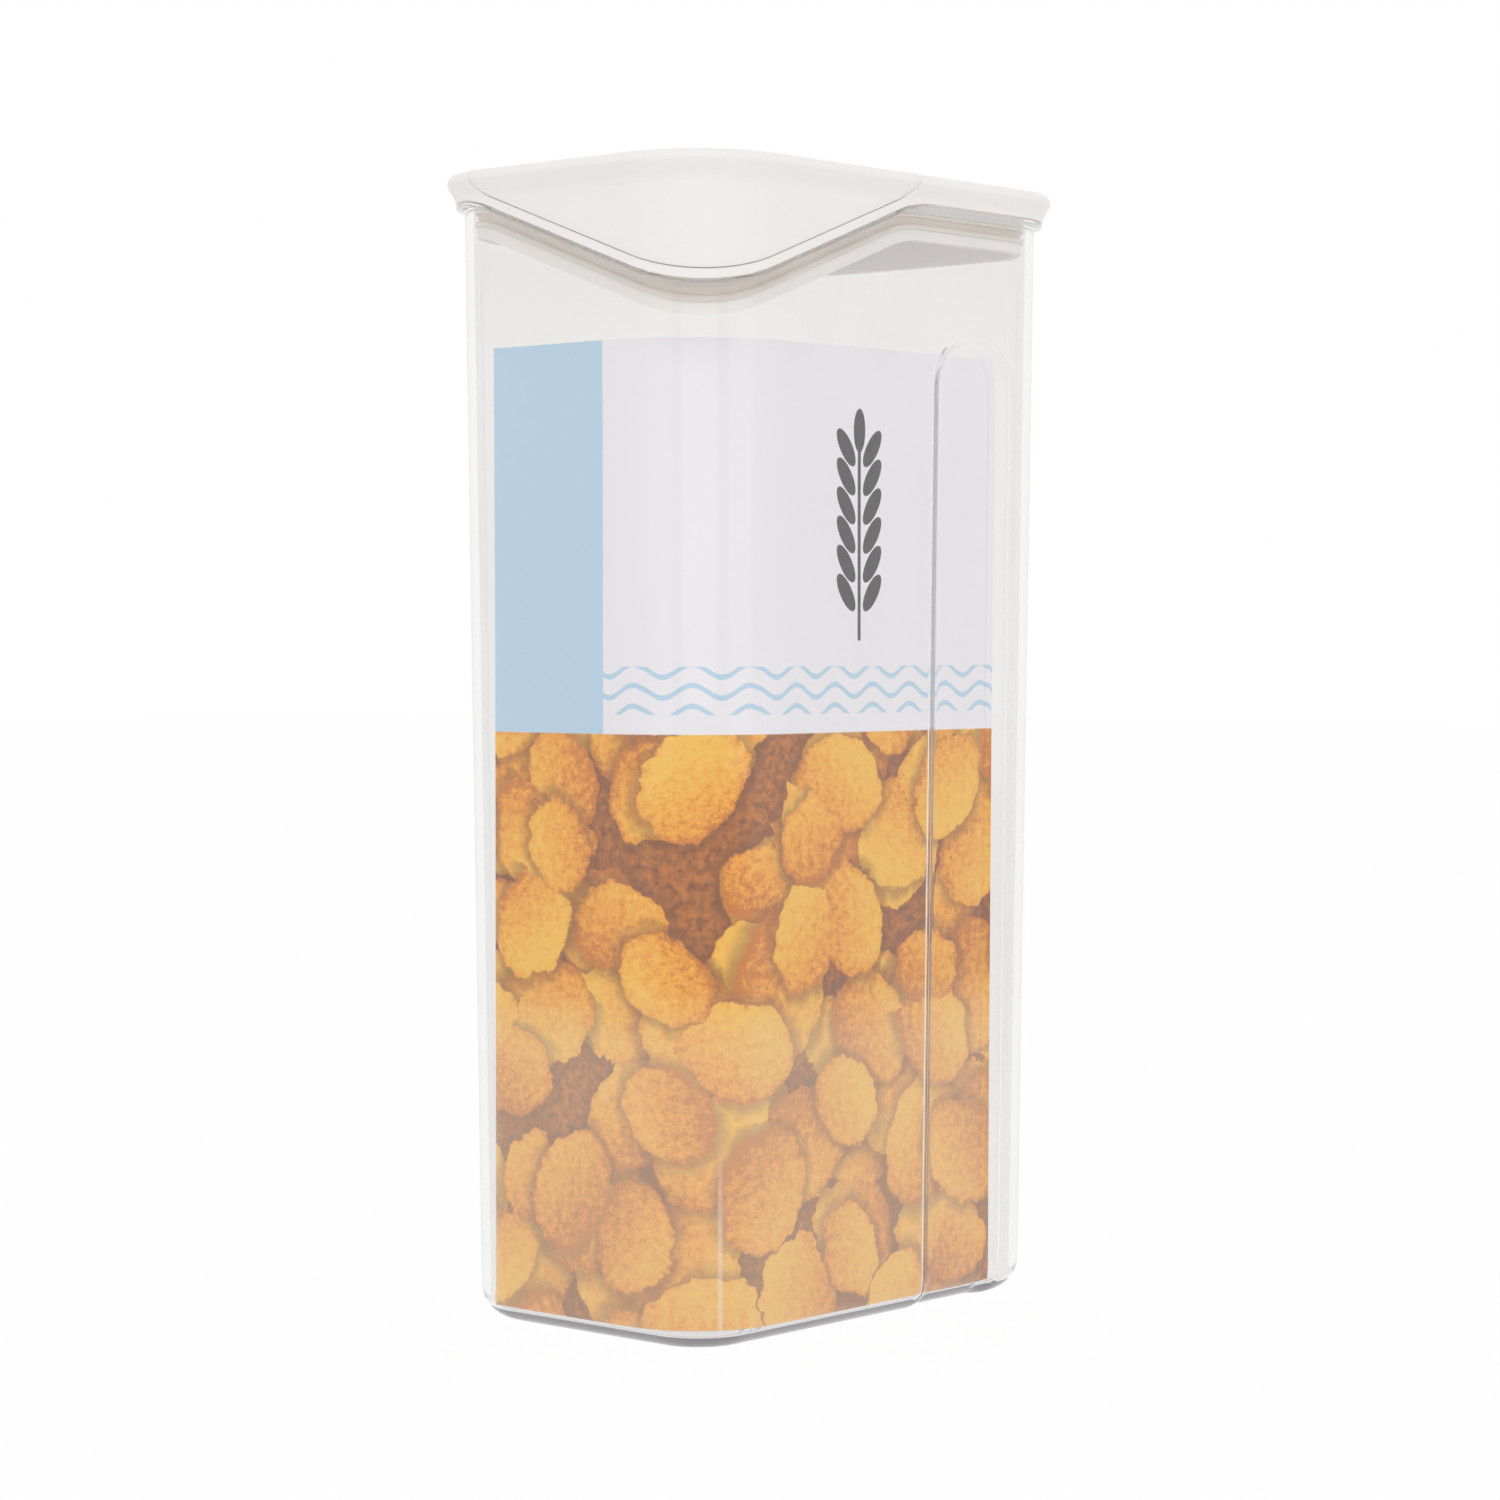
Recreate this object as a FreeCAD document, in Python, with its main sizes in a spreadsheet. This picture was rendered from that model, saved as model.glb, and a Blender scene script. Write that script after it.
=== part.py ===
import FreeCAD, Part
import math
import os
import re
import Sketcher

# Corner-pour food container: clear tub, white lid with a hinged corner flap, two seals, a card insert.
# X runs along the long side, Y along the short side, Z up; the pour corner is at -X -Y.
# "u" is the horizontal direction (1, 1) across the pour corner and "v" is (1, -1) along its hinge.

doc = FreeCAD.newDocument("container")
sheet = doc.addObject("Spreadsheet::Sheet", "dims")

# Driving dimensions, in millimetres and degrees
DIMENSIONS = [
    ("lid_length", 155.0),
    ("lid_width", 105.0),
    ("total_height", 295.0),
    ("lid_corner_radius", 27.1),
    ("lid_overhang", 4.3),
    ("strip_overhang", 2.0),
    ("band_height", 6.4),
    ("flare_height", 4.0),
    ("lid_top_edge_radius", 2.0),
    ("flare_top_radius", 1.3),
    ("flare_foot_radius", 5.0),
    ("wall_draft", 4.1),
    ("wall_thickness", 2.4),
    ("floor_thickness", 3.0),
    ("base_edge_radius", 9.0),
    ("lid_height", 7.35),
    ("rim_overhang", 2.15),
    ("rim_thickness", 1.3),
    ("pour_start", 59.973882),
    ("pour_tilt", 27.6),
    ("crease_radius", 20.0),
    ("groove_middle", 33.2),
    ("groove_width", 32.5),
    ("groove_drop", 30.1),
    ("groove_depth", 2.2),
    ("groove_slope", 66.0),
    ("lid_gap", 0.3),
    ("strip_height", 2.6),
    ("lid_plate", 2.2),
    ("plug_gap", 0.9),
    ("plug_thickness", 3.2),
    ("plug_depth", 8.55),
    ("plug_rake", 0.6),
    ("seal_top", 1.5),
    ("seal_height", 4.45),
    ("seal_groove", 1.6),
    ("seal_gap", 0.3),
    ("seal_web", 1.2),
    ("seal_fin", 1.3),
    ("hinge_lead", 7.6),
    ("hinge_drop", 2.4),
    ("hinge_radius", 1.0),
    ("hinge_clearance", 0.05),
    ("lug_spread", 36.0),
    ("lug_width", 6.0),
    ("lug_gap", 0.4),
    ("notch_reach", 4.2),
    ("flap_gap", 0.3),
    ("flap_wall", 2.0),
    ("flap_bar", 3.5),
    ("mouth_side", 9.0),
    ("mouth_clearance", 0.9),
    ("mouth_radius", 7.0),
    ("skirt_offset", 2.0),
    ("skirt_thickness", 1.6),
    ("flap_seal_overlap", 0.7),
    ("flap_seal_height", 1.8),
    ("flap_seal_gap", 0.1),
    ("card_thickness", 0.4),
    ("card_gap", 0.3),
    ("card_bottom", 4.4),
    ("card_corner_radius", 30.0),
    ("card_drop", 36.9),
    ("card_left_end", 32.7),
    ("card_front_end", 50.0),
]
for row, (alias, value) in enumerate(DIMENSIONS, start=1):
    sheet.set("A%d" % row, alias)
    sheet.set("B%d" % row, str(value))
    sheet.setAlias("B%d" % row, alias)
doc.recompute()


NAMES = {alias for alias, value in DIMENSIONS}


def dim(expression):
    """Writes the sheet's name in front of every dimension used in an expression."""
    return re.sub("[a-z_]+", lambda word: ("dims." if word[0] in NAMES else "") + word[0], expression)


# Sizes shared by several pieces, all taken from the sheet
WALL_LENGTH = "(lid_length - 2 * lid_overhang)"
WALL_WIDTH = "(lid_width - 2 * lid_overhang)"
WALL_RADIUS = "(lid_corner_radius - lid_overhang)"
PLUG_FACE = "(wall_thickness + plug_gap)"
PLUG_BACK = "(wall_thickness + plug_gap + plug_thickness)"
SEAL_FLOOR = "(wall_thickness + plug_gap + seal_groove)"
CARD_FACE = "(wall_draft + wall_thickness + groove_depth + card_gap)"
TILT = "(pour_tilt * 1 deg)"
RIM_HEIGHT = "(total_height - lid_height)"
CREST = "((lid_length + lid_width) / 2 * sqrt(0.5) - pour_start)"
HINGE_SETBACK = "(%s + hinge_lead)" % CREST
SKIRT_OUTSIDE = "(skirt_offset + skirt_thickness)"
MOUTH_REAR = "(%s + flap_bar + mouth_clearance + %s + flap_seal_overlap)" % (HINGE_SETBACK, SKIRT_OUTSIDE)
CORNER_MIDDLE = "((lid_length - lid_width) / 2 * sqrt(0.5))"
DIAGONAL = FreeCAD.Rotation(FreeCAD.Vector(1, 1, 0), FreeCAD.Vector(0, 0, 1), FreeCAD.Vector(1, -1, 0), "XYZ")


def bind(item, prop, expression):
    item.setExpression(prop, dim(expression))


def constrain(sketch, expression, *constraint):
    """Adds a dimensional constraint whose value follows the sheet."""
    index = sketch.addConstraint(Sketcher.Constraint(*constraint))
    bind(sketch, "Constraints[%d]" % index, expression)


def join_ends(sketch, first, first_end, second, second_end, kind="Coincident"):
    sketch.addConstraint(Sketcher.Constraint(kind, first, first_end, second, second_end))


def new_sketch(name, body=None, height="0"):
    """Makes a horizontal sketch at a height, alone or attached to the ground plane of a body."""
    if body is None:
        sketch = doc.addObject("Sketcher::SketchObject", name)
        bind(sketch, "Placement.Base.z", height)
        return sketch
    sketch = body.newObject("Sketcher::SketchObject", name)
    plane = [item for item in body.Origin.OriginFeatures if item.Role == "XY_Plane"][0]
    sketch.AttachmentSupport = (plane, [""])
    sketch.MapMode = "FlatFace"
    bind(sketch, "AttachmentOffset.Base.z", height)
    return sketch


def line(sketch, start, end):
    return sketch.addGeometry(Part.LineSegment(FreeCAD.Vector(*start, 0), FreeCAD.Vector(*end, 0)))


def arc(sketch, centre, radius, start_degrees, end_degrees):
    circle = Part.Circle(FreeCAD.Vector(*centre, 0), FreeCAD.Vector(0, 0, 1), radius)
    start = math.radians(start_degrees)
    end = math.radians(end_degrees)
    return sketch.addGeometry(Part.ArcOfCircle(circle, start, end))


def rounded_rectangle(name, length, width, radius, height="0", body=None):
    """Draws a centred rectangle with tangent corner arcs."""
    sketch = new_sketch(name, body, height)
    bottom = line(sketch, (-50, -45), (50, -45))
    right = line(sketch, (70, -25), (70, 25))
    top = line(sketch, (50, 45), (-50, 45))
    left = line(sketch, (-70, 25), (-70, -25))
    corners = [
        arc(sketch, (50, -25), 20, 270, 360),
        arc(sketch, (50, 25), 20, 0, 90),
        arc(sketch, (-50, 25), 20, 90, 180),
        arc(sketch, (-50, -25), 20, 180, 270),
    ]
    sides = [bottom, right, top, left]
    for index, corner in enumerate(corners):
        join_ends(sketch, sides[index], 2, corner, 1, "Tangent")
        join_ends(sketch, corner, 2, sides[(index + 1) % 4], 1, "Tangent")
    for side in (bottom, top):
        sketch.addConstraint(Sketcher.Constraint("Horizontal", side))
    for side in (right, left):
        sketch.addConstraint(Sketcher.Constraint("Vertical", side))
    for corner in corners[1:]:
        sketch.addConstraint(Sketcher.Constraint("Equal", corners[0], corner))
    sketch.addConstraint(Sketcher.Constraint("Symmetric", corners[0], 3, corners[2], 3, -1, 1))
    constrain(sketch, length + " / 2", "DistanceX", -1, 1, right, 1, 70.0)
    constrain(sketch, width + " / 2", "DistanceY", -1, 1, top, 1, 45.0)
    constrain(sketch, radius, "Radius", corners[0], 20.0)
    return sketch


def upright_outline(name, overhang, height="0", body=None):
    """Draws the wall's top outline, moved outwards by an overhang."""
    return rounded_rectangle(
        name,
        "(%s + 2 * %s)" % (WALL_LENGTH, overhang),
        "(%s + 2 * %s)" % (WALL_WIDTH, overhang),
        "(%s + %s)" % (WALL_RADIUS, overhang),
        height,
        body,
    )


def edges_at(shape, height):
    """Lists the edges that lie flat at a height."""
    return ["Edge%d" % (number + 1) for number, edge in enumerate(shape.Edges)
            if abs(edge.BoundBox.ZMin - height) < 0.01 and abs(edge.BoundBox.ZMax - height) < 0.01]


def wall_body(name, inset, bottom="0", edge_radius=None):
    """Makes the solid inside the drafted wall, moved inwards, with its bottom edge rounded if asked."""
    body = doc.addObject("PartDesign::Body", name)
    pad = body.newObject("PartDesign::Pad", name + "_pad")
    pad.Profile = upright_outline(name + "_outline", "-1 * (%s)" % inset, "total_height", body)
    pad.Reversed = True
    bind(pad, "Length", "total_height - (%s)" % bottom)
    doc.recompute()
    sides = []
    for number, face in enumerate(pad.Shape.Faces):
        box = face.BoundBox
        if box.ZLength > 1:
            sides.append("Face%d" % (number + 1))
        elif box.ZMin > pad.Shape.BoundBox.ZMax - 0.01:
            top_face = "Face%d" % (number + 1)
    draft = body.newObject("PartDesign::Draft", name + "_draft")
    draft.Base = (pad, sides)
    draft.NeutralPlane = (pad, [top_face])
    draft.Reversed = True
    bind(draft, "Angle", "atan(wall_draft / total_height)")
    doc.recompute()
    if edge_radius:
        fillet = body.newObject("PartDesign::Fillet", name + "_edge")
        fillet.Base = (draft, edges_at(draft.Shape, draft.Shape.BoundBox.ZMin))
        bind(fillet, "Radius", edge_radius)
    return body


def extrude(name, sketch, length, symmetric=False):
    solid = doc.addObject("Part::Extrusion", name)
    solid.Base = sketch
    solid.DirMode = "Normal"
    solid.Solid = True
    solid.Symmetric = symmetric
    bind(solid, "LengthFwd", length)
    return solid


def upright_prism(name, overhang, length="total_height"):
    """Makes the solid inside an upright outline, from the ground up."""
    return extrude(name, upright_outline(name + "_outline", overhang), length)


def diagonal_sketch(name, offset="0", setback="0"):
    """Makes an upright sketch across the pour corner, with u and the height above the rim as its axes."""
    sketch = doc.addObject("Sketcher::SketchObject", name)
    sketch.Placement = FreeCAD.Placement(FreeCAD.Vector(), DIAGONAL)
    bind(sketch, "Placement.Base.x", "(%s) * sqrt(0.5)" % setback)
    bind(sketch, "Placement.Base.y", "(%s) * sqrt(0.5)" % setback)
    bind(sketch, "Placement.Base.z", "%s + (%s)" % (RIM_HEIGHT, offset))
    return sketch


def above_rim(name, offset, setback="0"):
    """Makes the space above the dipped rim surface, moved up by an offset and back from the corner."""
    sketch = diagonal_sketch(name + "_profile", offset, setback)
    right = line(sketch, (155, 105), (155, 0))
    flat = line(sketch, (155, 0), (-26, 0))
    crease = arc(sketch, (-26, -20), 20, 90, 117.6)
    slope = line(sketch, (-155, -65), (-35.3, -2.3))
    left = line(sketch, (-155, -65), (-155, 105))
    top = line(sketch, (-155, 105), (155, 105))
    join_ends(sketch, right, 2, flat, 1)
    join_ends(sketch, flat, 2, crease, 1, "Tangent")
    join_ends(sketch, crease, 2, slope, 2, "Tangent")
    join_ends(sketch, slope, 1, left, 1)
    join_ends(sketch, left, 2, top, 1)
    join_ends(sketch, top, 2, right, 1)
    for upright in (right, left):
        sketch.addConstraint(Sketcher.Constraint("Vertical", upright))
    for level in (flat, top):
        sketch.addConstraint(Sketcher.Constraint("Horizontal", level))
    sketch.addConstraint(Sketcher.Constraint("PointOnObject", flat, 1, -1))
    constrain(sketch, "lid_length", "DistanceX", -1, 1, right, 1, 155.0)
    constrain(sketch, "lid_length", "DistanceX", left, 1, -1, 1, 155.0)
    constrain(sketch, "lid_width", "DistanceY", -1, 1, top, 1, 105.0)
    constrain(sketch, "crease_radius", "Radius", crease, 20.0)
    constrain(sketch, TILT, "Angle", slope, math.radians(27.6))
    constrain(sketch, "%s - crease_radius * tan(%s / 2)" % (CREST, TILT), "DistanceX", crease, 3, -1, 1, 26.0)
    return extrude(name, sketch, "2 * lid_length", True)


def below_rim(name, depth):
    """Makes the space above the plug's surface at a depth: its crease lies further back the deeper it is."""
    return above_rim(name, "-1 * (%s)" % depth, "plug_rake * (%s)" % depth)


def flap_space(name, gap, upright_rear):
    """Makes the space above the deck's slope for the flap, with its rear rounded about the hinge."""
    sketch = diagonal_sketch(name + "_profile")
    slope = line(sketch, (-155, -62.5), (-34.2, 0.9))
    turn = arc(sketch, (-36.3, 4.9), 4.43, -62.4, 0 if upright_rear else 40)
    top = line(sketch, (-32, 7.9), (-155, 7.9))
    front = line(sketch, (-155, 7.9), (-155, -62.5))
    crest = sketch.addGeometry(Part.Point(FreeCAD.Vector(-31.1, 2.6, 0)), True)
    join_ends(sketch, slope, 2, turn, 1, "Tangent")
    if upright_rear:
        rear = line(sketch, (-31.9, 4.9), (-31.9, 7.9))
        join_ends(sketch, turn, 2, rear, 1, "Tangent")
        join_ends(sketch, rear, 2, top, 1)
        sketch.addConstraint(Sketcher.Constraint("Vertical", rear))
    else:
        join_ends(sketch, turn, 2, top, 1)
    join_ends(sketch, top, 2, front, 1)
    join_ends(sketch, front, 2, slope, 1)
    sketch.addConstraint(Sketcher.Constraint("Horizontal", top))
    sketch.addConstraint(Sketcher.Constraint("Vertical", front))
    sketch.addConstraint(Sketcher.Constraint("PointOnObject", crest, 1, slope))
    constrain(sketch, CREST, "DistanceX", crest, 1, -1, 1, 31.1)
    constrain(sketch, "strip_height + (%s) / cos%s" % (gap, TILT), "DistanceY", -1, 1, crest, 1, 2.6)
    constrain(sketch, TILT, "Angle", slope, math.radians(27.6))
    constrain(sketch, HINGE_SETBACK, "DistanceX", turn, 3, -1, 1, 36.3)
    constrain(sketch, "lid_height - hinge_drop", "DistanceY", -1, 1, turn, 3, 4.9)
    constrain(sketch, "lid_length", "DistanceX", front, 1, -1, 1, 155.0)
    constrain(sketch, "lid_height + hinge_drop / 2", "DistanceY", -1, 1, top, 1, 7.9)
    return extrude(name, sketch, "2 * lid_length", True)


def diagonal_box(name, rear_from, rear_to, low, high, middle, width):
    """Makes a box between two u positions and two heights, centred at a v position."""
    box = doc.addObject("Part::Box", name)
    box.Placement = FreeCAD.Placement(FreeCAD.Vector(), FreeCAD.Rotation(FreeCAD.Vector(0, 0, 1), 45))
    bind(box, "Length", "%s - (%s)" % (rear_to, rear_from))
    bind(box, "Width", width)
    bind(box, "Height", "%s - (%s)" % (high, low))
    bind(box, "Placement.Base.x", "(%s + %s + %s / 2) * sqrt(0.5)" % (rear_from, middle, width))
    bind(box, "Placement.Base.y", "(%s - %s - %s / 2) * sqrt(0.5)" % (rear_from, middle, width))
    bind(box, "Placement.Base.z", low)
    return box


def hinge_cylinder(name, radius, middle, length):
    """Makes a cylinder on the hinge line, centred at a v position."""
    cylinder = doc.addObject("Part::Cylinder", name)
    cylinder.Placement = FreeCAD.Placement(FreeCAD.Vector(), DIAGONAL)
    start = "(%s - (%s) / 2)" % (middle, length)
    bind(cylinder, "Radius", radius)
    bind(cylinder, "Height", length)
    bind(cylinder, "Placement.Base.x", "(%s - %s) * sqrt(0.5)" % (start, HINGE_SETBACK))
    bind(cylinder, "Placement.Base.y", "(-1 * %s - %s) * sqrt(0.5)" % (HINGE_SETBACK, start))
    bind(cylinder, "Placement.Base.z", "total_height - hinge_drop")
    return cylinder


def mouth_prism(name, grow):
    """Makes the upright prism of the three-cornered pour mouth, moved outwards by an amount."""
    sketch = new_sketch(name + "_outline")
    front = line(sketch, (-57, -39), (-47, -39))
    rear = line(sketch, (-43, -22), (-47, -18))
    left = line(sketch, (-64, -22), (-64, -32))
    sides = [front, rear, left]
    corners = [
        arc(sketch, (-47, -32), 7, 270, 405),
        arc(sketch, (-57, -22), 7, 45, 180),
        arc(sketch, (-57, -32), 7, 180, 270),
    ]
    for index, corner in enumerate(corners):
        join_ends(sketch, sides[index], 2, corner, 1, "Tangent")
        join_ends(sketch, corner, 2, sides[(index + 1) % 3], 1, "Tangent")
    sketch.addConstraint(Sketcher.Constraint("Horizontal", front))
    sketch.addConstraint(Sketcher.Constraint("Vertical", left))
    sketch.addConstraint(Sketcher.Constraint("Equal", corners[0], corners[1]))
    sketch.addConstraint(Sketcher.Constraint("Equal", corners[0], corners[2]))
    constrain(sketch, "mouth_radius + %s" % grow, "Radius", corners[0], 7.0)
    constrain(sketch, "135 deg", "Angle", rear, math.radians(135))
    constrain(sketch, "%s / 2 - mouth_side + %s" % (WALL_LENGTH, grow), "DistanceX", left, 1, -1, 1, 64.0)
    constrain(sketch, "%s / 2 - mouth_side + %s" % (WALL_WIDTH, grow), "DistanceY", front, 1, -1, 1, 39.0)
    constrain(sketch, "%s - %s" % (MOUTH_REAR, grow), "Distance", -1, 1, rear, 46.0)
    return extrude(name, sketch, "total_height")


def cut(name, base, tool):
    result = doc.addObject("Part::Cut", name)
    result.Base = base
    result.Tool = tool
    return result


def common(name, base, tool):
    result = doc.addObject("Part::Common", name)
    result.Base = base
    result.Tool = tool
    return result


def fuse(name, *shapes):
    result = doc.addObject("Part::MultiFuse", name)
    result.Shapes = list(shapes)
    return result


# Clear tub: drafted walls, rounded bottom edge, dipped rim flange, one grip groove in each long side
def groove_outline(name, half_width, depth):
    """Draws a round-topped slot, open at the bottom, on a plane at a depth below the front wall's face."""
    sketch = doc.addObject("Sketcher::SketchObject", name)
    lean = "(90 deg + atan(wall_draft / total_height))"
    sketch.Placement = FreeCAD.Placement(FreeCAD.Vector(), FreeCAD.Rotation(FreeCAD.Vector(1, 0, 0), 90))
    bind(sketch, "Placement.Rotation.Angle", lean)
    bind(sketch, "Placement.Base.y", "wall_draft - %s / 2 + (%s)" % (WALL_WIDTH, depth))
    left = line(sketch, (16, -20), (16, 240))
    top = arc(sketch, (32, 240), 16, 0, 180)
    right = line(sketch, (48, 240), (48, -20))
    bottom = line(sketch, (48, -20), (16, -20))
    join_ends(sketch, left, 2, top, 2, "Tangent")
    join_ends(sketch, top, 1, right, 1, "Tangent")
    join_ends(sketch, right, 2, bottom, 1)
    join_ends(sketch, bottom, 2, left, 1)
    sketch.addConstraint(Sketcher.Constraint("Vertical", left))
    sketch.addConstraint(Sketcher.Constraint("Horizontal", bottom))
    constrain(sketch, half_width, "Radius", top, 16.0)
    constrain(sketch, "groove_middle", "DistanceX", -1, 1, top, 3, 32.0)
    constrain(sketch, "%s - groove_drop - groove_width / 2" % RIM_HEIGHT, "DistanceY", -1, 1, top, 3, 240.0)
    constrain(sketch, "base_edge_radius", "DistanceY", bottom, 1, -1, 1, 20.0)
    return sketch


def grooves(name, depth, floor_half_width):
    """Makes the pair of slope-sided grip grooves, down to a depth below the wall's face."""
    outside = "(%s + (%s + groove_depth) * tan(groove_slope * 1 deg))" % (floor_half_width, depth)
    front = doc.addObject("Part::Loft", name + "_front")
    front.Sections = [
        groove_outline(name + "_outside", outside, "-1 * groove_depth"),
        groove_outline(name + "_floor", floor_half_width, depth),
    ]
    front.Solid = True
    front.Ruled = True
    back = doc.addObject("Part::Mirroring", name + "_back")
    back.Source = front
    back.Normal = FreeCAD.Vector(0, 1, 0)
    return fuse(name, front, back)


GROOVE_FLOOR = "(groove_width / 2 - groove_depth * tan(groove_slope * 1 deg))"
BUMP_FLOOR = "(%s + wall_thickness * tan(groove_slope / 2 * 1 deg))" % GROOVE_FLOOR
above_tub = above_rim("above_tub", "0")
rim_blank = upright_prism("rim_blank", "rim_overhang")
above_rim_underside = above_rim("above_rim_underside", "-1 * rim_thickness")
rim = common("rim", rim_blank, cut("rim_layer", above_rim_underside, above_tub))
tub_outside = wall_body("tub_outside", "0", "0", "base_edge_radius")
tub_inside = wall_body("tub_inside", "wall_thickness", "floor_thickness",
                       "base_edge_radius - wall_thickness")
grip_grooves = grooves("grip_grooves", "groove_depth", GROOVE_FLOOR)
grip_bumps = grooves("grip_bumps", "(groove_depth + wall_thickness)", BUMP_FLOOR)
tub_blank = cut("tub_blank", fuse("tub_with_rim", tub_outside, rim), above_tub)
tub_grooved = cut("tub_grooved", tub_blank, grip_grooves)
container_body = cut("container_body", tub_grooved, cut("tub_room", tub_inside, grip_bumps))

# Lid outside shape, shared by the frame and the flap: flared band with a rounded top edge over a plain strip
envelope = doc.addObject("PartDesign::Body", "lid_envelope")
band_pad = envelope.newObject("PartDesign::Pad", "band_pad")
band_pad.Profile = upright_outline("band_outline", "lid_overhang", "total_height - band_height", envelope)
bind(band_pad, "Length", "band_height")
doc.recompute()
band_flare = envelope.newObject("PartDesign::Chamfer", "band_flare")
band_flare.Base = (band_pad, edges_at(band_pad.Shape, band_pad.Shape.BoundBox.ZMin))
band_flare.ChamferType = "Two distances"
bind(band_flare, "Size", "flare_height")
bind(band_flare, "Size2", "lid_overhang - strip_overhang")
doc.recompute()
band_edge = envelope.newObject("PartDesign::Fillet", "band_edge")
band_edge.Base = (band_flare, edges_at(band_flare.Shape, band_flare.Shape.BoundBox.ZMax))
bind(band_edge, "Radius", "lid_top_edge_radius")
doc.recompute()
strip_pad = envelope.newObject("PartDesign::Pad", "strip_pad")
strip_pad.Profile = upright_outline("strip_outline", "strip_overhang", "total_height - band_height", envelope)
strip_pad.Reversed = True
bind(strip_pad, "Length", "lid_width / 2")
doc.recompute()
flare_foot = envelope.newObject("PartDesign::Fillet", "flare_foot")
flare_foot.Base = (strip_pad, edges_at(strip_pad.Shape, sheet.total_height - sheet.band_height))
bind(flare_foot, "Radius", "flare_foot_radius")
doc.recompute()
flare_top = envelope.newObject("PartDesign::Fillet", "flare_top")
flare_top_height = sheet.total_height - sheet.band_height + sheet.flare_height
flare_top.Base = (flare_foot, edges_at(flare_foot.Shape, flare_top_height))
bind(flare_top, "Radius", "flare_top_radius")

# Lid frame: strip and rear plate, sloped deck with the pour mouth, plug skirt with a seal groove, hinge lugs
TURN_RADIUS = ("((lid_height - hinge_drop - strip_height + (hinge_lead) * tan%s)"
               " * cos%s)" % (TILT, TILT))
SEAM = "(%s - %s)" % (TURN_RADIUS, HINGE_SETBACK)
lid_bottom = above_rim("lid_bottom", "lid_gap")
lid_shell = cut("lid_shell", common("lid_blank", envelope, lid_bottom), flap_space("flap_room", "0", True))
plug_back = wall_body("plug_back", PLUG_BACK)
plug_root = above_rim("plug_root", "strip_height / 2")
plug_layer = cut("plug_layer", below_rim("plug_bottom", "plug_depth"), plug_root)
plug_ring = common("plug_ring", cut("plug_wall", wall_body("plug_face", PLUG_FACE), plug_back), plug_layer)
seal_ceiling = below_rim("seal_ceiling", "seal_top")
seal_layer = cut("seal_layer", below_rim("seal_bottom", "seal_top + seal_height"), seal_ceiling)
seal_seat = wall_body("seal_seat", SEAL_FLOOR)
plug = cut("plug", plug_ring, cut("seal_groove", seal_layer, seal_seat))
lid_room = common("lid_room", plug_back, diagonal_box(
    "room_limit", "(%s + lid_plate)" % SEAM, "lid_length", "0", "total_height - lid_plate",
    "0", "2 * lid_length"))
mouth = mouth_prism("mouth", "0")
lugs = []
bores = []
for side, sign in (("front", "1"), ("left", "-1")):
    middle = "(%s * lug_spread - %s)" % (sign, CORNER_MIDDLE)
    knuckle = hinge_cylinder("lug_end_" + side, "hinge_drop", middle, "lug_width")
    arm = diagonal_box("lug_arm_" + side, "-1 * " + HINGE_SETBACK, "(%s + lid_plate)" % SEAM,
                       "total_height - 2 * hinge_drop", "total_height", middle, "lug_width")
    lugs += [knuckle, arm]
    bore_radius = "hinge_radius + hinge_clearance"
    bores.append(hinge_cylinder("lug_bore_" + side, bore_radius, middle, "lug_width + 2"))
lid_joined = fuse("lid_joined", lid_shell, plug, *lugs)
lid_frame = cut("lid_frame", lid_joined, fuse("lid_cuts", lid_room, mouth, *bores))

# Lid seal: a web seated in the plug's groove with a fin along its top and bottom
fins_out = wall_body("fins_out", "(wall_thickness + seal_gap)")
web_out = wall_body("web_out", "(%s - seal_web)" % SEAL_FLOOR)
between_fins = cut("between_fins", below_rim("fin_low_top", "seal_top + seal_height - seal_fin"),
                   below_rim("fin_high_bottom", "seal_top + seal_fin"))
seal_ring = common("seal_ring", cut("seal_wall", fins_out, seal_seat), seal_layer)
lid_gasket = cut("lid_gasket", seal_ring, cut("fin_space", between_fins, web_out))

# Corner flap: hollow shell, hinge bar with lug notches and stub pins, skirt that carries the flap seal
SEAL_UNDERSIDE = "(strip_height + flap_seal_gap)"
PLATE_UNDERSIDE = "(total_height - lid_plate)"
flap_blank = common("flap_blank", envelope, flap_space("flap_shape", "flap_gap", False))
flap_core = upright_prism("flap_core", "(strip_overhang - flap_wall)", PLATE_UNDERSIDE)
flap_room_limit = diagonal_box("flap_room_limit", "-1 * lid_length", "(-1 * %s - flap_bar)" % HINGE_SETBACK,
                               "0", "total_height", "0", "2 * lid_length")
flap_hollow = common("flap_hollow", flap_core, flap_room_limit)
skirt_bottom = above_rim("skirt_bottom", "(%s + flap_seal_height)" % SEAL_UNDERSIDE)
skirt_out = mouth_prism("skirt_out", SKIRT_OUTSIDE)
skirt_wall = cut("skirt_wall", skirt_out, mouth_prism("skirt_in", "skirt_offset"))
skirt_room = common("skirt_room", skirt_wall, flap_blank)
skirt = common("skirt", skirt_room, skirt_bottom)
pin_length = "(2 * lug_spread + lug_width / 2)"
pin = hinge_cylinder("hinge_pin", "hinge_radius", "(-1 * %s)" % CORNER_MIDDLE, pin_length)
notches = []
for side, sign in (("front", "1"), ("left", "-1")):
    middle = "(%s * lug_spread - %s)" % (sign, CORNER_MIDDLE)
    notches.append(diagonal_box(
        "lug_notch_" + side, "(-1 * %s - notch_reach)" % HINGE_SETBACK, "0", "0",
        "total_height + lid_plate", middle, "(lug_width + 2 * lug_gap)"))
flap_shell = cut("flap_shell", flap_blank, fuse("flap_cuts", flap_hollow, *notches))
corner_flap = fuse("corner_flap", flap_shell, skirt, pin)

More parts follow.
